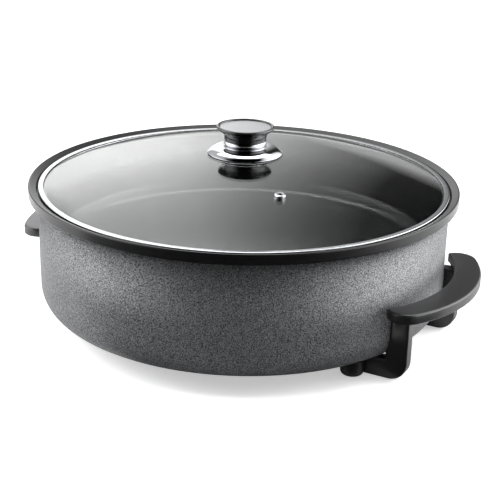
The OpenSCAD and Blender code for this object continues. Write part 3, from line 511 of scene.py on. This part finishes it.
# body: core recess, foot, quarter arc of the flare, round lip, and the recess for the top disc
def knobShape():
    k, z = knob, knob["z"]
    flareZ = k["height"] - 2 * k["lipRound"] - k["lipGap"] - k["flare"]
    a = np.linspace(np.pi, np.pi / 2 + k["flareEnd"], 24)
    flare = np.stack([k["neck"] + k["flare"] + k["flare"] * np.cos(a), flareZ + k["flare"] * np.sin(a)], -1)
    lipC = (k["lip"] - k["lipRound"], k["height"] - k["lipRound"])
    c = np.linspace(-np.pi / 2, np.pi - k["lipEnd"], 24)
    lip = np.stack([lipC[0] + k["lipRound"] * np.cos(c), lipC[1] + k["lipRound"] * np.sin(c)], -1)
    foot = [[0, k["coreH"]], [k["core"], k["coreH"]], [k["core"], 0], [k["sleeve"], 0],
            [k["sleeve"], k["collar"] - k["seat"]], [k["neck"], k["collar"] - k["seat"]]]
    top = [[k["recess"], k["height"] - k["recessT"]], [0, k["height"] - k["recessT"]]]
    return lathe(np.concatenate([foot, flare, lip, top]) + [0, z], 128, closed=False)


# chrome collar round the foot of the neck: a half oval
def collarShape():
    k, d = knob, np.linspace(-np.pi / 2, np.pi / 2, 24)
    half, inside = k["collar"] / 2, k["sleeve"] + k["sleeveGap"]
    oval = np.stack([k["neck"] - k["bulge"] + k["tuck"] + k["bulge"] * np.cos(d), half + half * np.sin(d)], -1)
    line = np.concatenate([[[inside, 0]], oval, [[inside, k["collar"]]]])
    return lathe(line + [0, k["z"] - k["seat"]], 128)


# dome of the skirt disc: an arc from the collar down to a rolled edge, and the same arc one sheet lower
def discShape():
    k, z = knob, knob["z"]
    topR, drop = k["neck"] + k["tuck"], k["discH"] - k["seat"]
    chord = math.hypot(k["disc"] - topR, drop) / 2
    back = math.sqrt(k["discCurve"] ** 2 - chord ** 2) / (2 * chord)
    c = np.array([(k["disc"] + topR) / 2 - back * drop, -k["seat"] - drop / 2 - back * (k["disc"] - topR)])
    a0, a1 = math.atan2(-k["seat"] - c[1], topR - c[0]), math.atan2(-k["discH"] - c[1], k["disc"] - c[0])
    a = np.linspace(a0, a1, 40)[:, None]
    way = np.concatenate([np.cos(a), np.sin(a)], 1)
    upper, lower = c + k["discCurve"] * way, c + (k["discCurve"] - k["discT"]) * way[::-1]
    e = np.linspace(a1, a1 - np.pi, 12)[1:-1, None]
    roll = (upper[-1] + lower[0]) / 2 + k["discT"] / 2 * np.concatenate([np.cos(e), np.sin(e)], 1)
    step, t = k["sleeve"] - k["seatGap"], k["discT"]
    line = np.concatenate([[[k["bore"], 0], [step, 0], [step, -k["seat"]]], upper, roll, lower,
                           [[step - t, -k["seat"] - t], [step - t, -t], [k["bore"], -t]]])
    return lathe(line + [0, z], 128)


addPiece("knob_body", [knobShape()], "lid", finish["knob_black"], ["knob_shell"])
addPiece("knob_disc", [discShape(), collarShape()], "lid", finish["knob_chrome"], ["knob_skirt"])
capTop = knob["z"] + knob["height"] - knob["capDrop"]
capLow = capTop - knob["capT"]
capLine = roundedLine([(0, capLow), (knob["cap"], capLow, 0.1), (knob["cap"], capTop, 0.25), (0, capTop)],
                      closed=False, steps=4)
addPiece("knob_top", [lathe(capLine, 128, closed=False)], "lid", finish["brushed_cap"], ["knob_cap"])

# Steam vent: a button on the glass, a tube through it and a flange under it, square to the glass
vent = {"flange": 5.3, "height": 3.2, "crown": 3.9, "drop": 0.8, "sink": 0.15, "hole": 2.1, "tube": 3.1, "clear": 0.15,
        "flangeT": 0.75}


# lathe shape about the z axis with the glass's top at 0, then tilted and moved to its place on the dome
def ventShape():
    v = vent
    under = -lid["glass"] - v["clear"]
    low = under - v["flangeT"]
    line = roundedLine([
        (v["hole"], v["height"] - v["sink"], 0.3), (v["crown"], v["height"], 1.2),
        (v["flange"], v["height"] - v["drop"], 0.6), (v["flange"], v["clear"], 0.2), (v["tube"], v["clear"], 0.1),
        (v["tube"], under + 0.05, 0.1), (v["flange"], under, 0.2), (v["flange"], low, 0.3), (v["hole"], low, 0.3)],
        steps=6, guard=0.2)
    points, faces = lathe(line, 64)
    tilt = Matrix.Rotation(math.radians(lid["vent"][1]), 3, "Z") @ Matrix.Rotation(
        math.asin(lid["vent"][0] / domeOut), 3, "Y")
    return (points + [0, 0, domeOut]) @ np.array(tilt).T + [0, 0, domeZ], faces


addPiece("vent_eyelet", [ventShape()], "lid", finish["bright_steel"], ["steam_vent"])
print("lid shaped")

# Camera fitted to the photograph, in mm
view = {"place": (521.8, -974.95, 484.1), "ahead": (-0.4358, 0.8273, -0.3546), "right": (0.8805, 0.4736, 0.0227),
        "lens": 84.06, "sensor": 36, "far": 100}
ahead, right = Vector(view["ahead"]).normalized(), Vector(view["right"])
right = (right - ahead * right.dot(ahead)).normalized()
up = right.cross(ahead)
camera = bpy.data.objects.new("camera", bpy.data.cameras.new("camera"))
camera.data.lens, camera.data.sensor_width, camera.data.clip_end = view["lens"], view["sensor"], view["far"]
camera.matrix_world = Matrix.Translation(Vector(view["place"]) * mm) @ Matrix(
    (right, up, -ahead)).transposed().to_4x4()
bpy.context.collection.objects.link(camera)
bpy.context.scene.camera = camera

# Light: soft boxes at the left, right and above
side = Vector((right.x, right.y, 0)).normalized()
away = Vector((ahead.x, ahead.y, 0)).normalized()
target = Vector((0, 0, 0.08))
lamps = {
    "left": {"at": side * -1.35 + away * 0.1 + Vector((0, 0, 0.8)), "size": (1.0, 1.0), "power": 24},
    "right": {"at": side * 1.35 + away * 0.1 + Vector((0, 0, 0.75)), "size": (0.9, 0.9), "power": 22},
    "above": {"at": away * -0.3 + Vector((0, 0, 1.7)), "size": (1.4, 0.9), "power": 14},
}
for name, lamp in lamps.items():
    data = bpy.data.lights.new("softbox " + name, "AREA")
    data.shape, data.size, data.size_y, data.energy = "RECTANGLE", lamp["size"][0], lamp["size"][1], lamp["power"]
    box = bpy.data.objects.new("softbox " + name, data)
    box.location = lamp["at"]
    box.rotation_euler = (target - lamp["at"]).to_track_quat("-Z", "Y").to_euler()
    box.visible_glossy = box.visible_transmission = False
    bpy.context.collection.objects.link(box)

# white surround: full white where it is seen or mirrored, dimmer as fill light
studio = {"fill": 0.45, "seen": 1.0}
world = bpy.data.worlds.new("studio")
bpy.context.scene.world = world
world.use_nodes = True
tree = world.node_tree
tree.nodes.clear()
path = addNode(tree, "LightPath")
seen = addNode(tree, "Math", {"operation": "MAXIMUM"}, {
    0: path.outputs["Is Camera Ray"], 1: path.outputs["Is Transmission Ray"]})
seen = addNode(tree, "Math", {"operation": "MAXIMUM"}, {0: seen.outputs[0], 1: path.outputs["Is Glossy Ray"]})
level = addNode(tree, "MapRange", None, {"Value": seen.outputs[0], "To Min": studio["fill"], "To Max": studio["seen"]})
sky = addNode(tree, "Background", None, {"Color": (1, 1, 1, 1), "Strength": level.outputs["Result"]})
addNode(tree, "OutputWorld", None, {"Surface": sky.outputs["Background"]})


# a flat sheet given by its centre, two half sides and a material
def addSheet(name, centre, half1, half2, material):
    corners = [centre - half1 - half2, centre + half1 - half2, centre + half1 + half2, centre - half1 + half2]
    mesh = bpy.data.meshes.new(name)
    mesh.from_pydata([tuple(c) for c in corners], [], [(0, 1, 2, 3)])
    mesh.materials.append(material)
    sheet = bpy.data.objects.new(name, mesh)
    bpy.context.collection.objects.link(sheet)
    return sheet


# white paper floor that keeps the shadow: matt, with a faint cloud of fibres
paper = {"dark": "#f4f4f4", "light": "#f8f8f8", "fibre": 40, "lift": 0.46, "half": 14, "below": 0.0004}
material, tree, shader, place = startMaterial("white paper", {"Roughness": 0.9, "Specular IOR Level": 0.1})
fibre = addNode(tree, "TexNoise", None, {"Vector": place, "Scale": 1 / (paper["fibre"] * mm)})
tint = addNode(tree, "ValToRGB", None, {"Fac": fibre.outputs["Fac"]})
dark, light = tint.color_ramp.elements
dark.color, light.color = colour(paper["dark"]), colour(paper["light"])
tree.links.new(tint.outputs["Color"], shader.inputs["Base Color"])
path = addNode(tree, "LightPath")
lift = addNode(tree, "Math", {"operation": "MULTIPLY"}, {0: path.outputs["Is Camera Ray"], 1: paper["lift"]})
glow = addNode(tree, "Emission", None, {"Color": (1, 1, 1, 1), "Strength": lift.outputs[0]})
both = addNode(tree, "AddShader", None, {0: shader.outputs["BSDF"], 1: glow.outputs["Emission"]})
tree.links.new(both.outputs["Shader"], tree.nodes["Material Output"].inputs["Surface"])
addSheet("floor", Vector((0, 0, -paper["below"])), Vector((paper["half"], 0, 0)), Vector((0, paper["half"], 0)),
         material)


# only polished surfaces mirror the tent and the felt: they light nothing else and hide nothing
def mirroredOnly(thing):
    for way in ("camera", "diffuse", "volume_scatter", "shadow"):
        setattr(thing, "visible_" + way, False)


# Reflection tent, a ball round the set, in metres. Across the back its light falls off from left to right, and
# on the camera's side it is black between two bright side walls. Levels are (place, level)
tent = {"radius": 3.0,
        "back": [(-2.9, 4.4), (-2.2, 0.9), (-1.4, 0.7), (-1.15, 2.1), (-0.7, 2.1), (-0.35, 1.8), (0.1, 0.95),
                 (0.5, 0.43), (0.9, 0.05), (1.3, 0.02), (1.6, 1.7), (2.1, 2.0), (2.9, 6.0)],
        "front": [(-2.9, 4.0), (-2.2, 1.0), (-1.6, 0.0), (1.4, 0.0), (2.0, 1.2), (2.9, 5.0)],
        "horizon": [(-1.5, 0.55), (0.0, 0.4), (0.5, 0.5), (1.0, 0.6), (1.5, 0.4)],
        "arch": [(0.79, 0.0), (0.83, 6.0), (0.91, 6.0), (0.935, 0.0)],
        "turn": (-0.3, 0.5), "dim": (0.1, 0.9, 0.6), "horizonTop": (0.35, 0.8), "archEnd": (1.3, 1.65)}
material, tree, shader, place = startMaterial("reflection tent", {})
tree.nodes.remove(shader)
# how far a place on the tent lies to the right, to the back and up
across, deep, high = [addNode(tree, "VectorMath", {"operation": "DOT_PRODUCT"}, {0: place, 1: way}).outputs["Value"]
                      for way in (side, away, Vector((0, 0, 1)))]


# light level from a list of (place, level) and the node value that gives the place
def levels(stops, value):
    low, high = stops[0][0], stops[-1][0]
    where = addNode(tree, "MapRange", None, {"Value": value, "From Min": low, "From Max": high})
    ramp = addNode(tree, "ValToRGB", None, {"Fac": where.outputs["Result"]})
    points = ramp.color_ramp.elements
    while len(points) < len(stops):
        points.new(0.5)
    top = max(level for _, level in stops)
    for point, (at, level) in zip(points, stops):
        point.position = (at - low) / (high - low)
        point.color = (level / top, level / top, level / top, 1)
    return addNode(tree, "Math", {"operation": "MULTIPLY"}, {0: ramp.outputs["Color"], 1: top}).outputs[0]


behind = addNode(tree, "MapRange", None, {"Value": deep, "From Min": tent["turn"][0], "From Max": tent["turn"][1]})
dim = addNode(tree, "MapRange", None, {
    "Value": high, "From Min": tent["dim"][0], "From Max": tent["dim"][1], "To Min": tent["dim"][2], "To Max": 1.0})
back = addNode(tree, "Math", {"operation": "MULTIPLY"}, {
    0: dim.outputs["Result"], 1: levels(tent["back"], across)})
level = addNode(tree, "Mix", {"data_type": "FLOAT"}, {
    0: behind.outputs["Result"], 2: levels(tent["front"], across), 3: back.outputs[0]})
# a pale band low along the back
height = addNode(tree, "MapRange", None, {
    "Value": high, "From Min": tent["horizonTop"][0], "From Max": tent["horizonTop"][1], "To Min": 1.0, "To Max": 0.0})
low = addNode(tree, "Math", {"operation": "MULTIPLY"}, {0: height.outputs["Result"], 1: behind.outputs["Result"]})
horizon = addNode(tree, "Math", {"operation": "MULTIPLY"}, {
    0: low.outputs[0], 1: levels(tent["horizon"], across)})
level = addNode(tree, "Math", {"operation": "MAXIMUM"}, {0: level.outputs[0], 1: horizon.outputs[0]})
# a curved strip light over the pan: it lies where a slope of 30 degrees all round would mirror it to the camera
half = addNode(tree, "VectorMath", {"operation": "MULTIPLY_ADD"}, {
    0: place, 1: Vector((1, 1, 1)) / tent["radius"], 2: -ahead})
half = addNode(tree, "VectorMath", {"operation": "NORMALIZE"}, {0: half.outputs["Vector"]})
steep = addNode(tree, "SeparateXYZ", None, {"Vector": half.outputs["Vector"]})
near = addNode(tree, "MapRange", None, {
    "Value": deep, "From Min": tent["archEnd"][0], "From Max": tent["archEnd"][1], "To Min": 1.0, "To Max": 0.0})
arch = addNode(tree, "Math", {"operation": "MULTIPLY"}, {
    0: near.outputs["Result"], 1: levels(tent["arch"], steep.outputs["Z"])})
level = addNode(tree, "Math", {"operation": "MAXIMUM"}, {0: level.outputs[0], 1: arch.outputs[0]})
glow = addNode(tree, "Emission", None, {"Strength": level.outputs[0]})
path = addNode(tree, "LightPath")
gone = addNode(tree, "BsdfTransparent")
mix = addNode(tree, "MixShader", None, {
    0: path.outputs["Glossy Depth"], 1: gone.outputs["BSDF"], 2: glow.outputs["Emission"]})
tree.links.new(mix.outputs["Shader"], tree.nodes["Material Output"].inputs["Surface"])
arc = np.linspace(-np.pi / 2, np.pi / 2, 33)
points, faces = lathe(tent["radius"] * np.stack([np.cos(arc), np.sin(arc)], -1), 64, closed=False)
mesh = bpy.data.meshes.new("reflection tent")
mesh.from_pydata(points.tolist(), [], faces.tolist())
mesh.materials.append(material)
ball = bpy.data.objects.new("reflection tent", mesh)
bpy.context.collection.objects.link(ball)
mirroredOnly(ball)

# black felt on the floor before and behind the pan, for the same mirror images: matt, nearly no light back
felt = {"before": (away * -0.86 - side * 0.04, 0.5), "behind": (away * 1.2, 0.6), "depth": 0.7, "above": 0.0002}
feltBlack = evenFinish("black felt", "#060606", "#090909", 0.95, 3.0)
for name in ("before", "behind"):
    middle, half = felt[name]
    card = addSheet("felt " + name, middle + Vector((0, 0, felt["above"])), side * half, away * felt["depth"],
                    feltBlack)
    mirroredOnly(card)
    card.visible_transmission = False

bpy.context.scene.view_settings.view_transform = "Standard"
print("camera and light set")
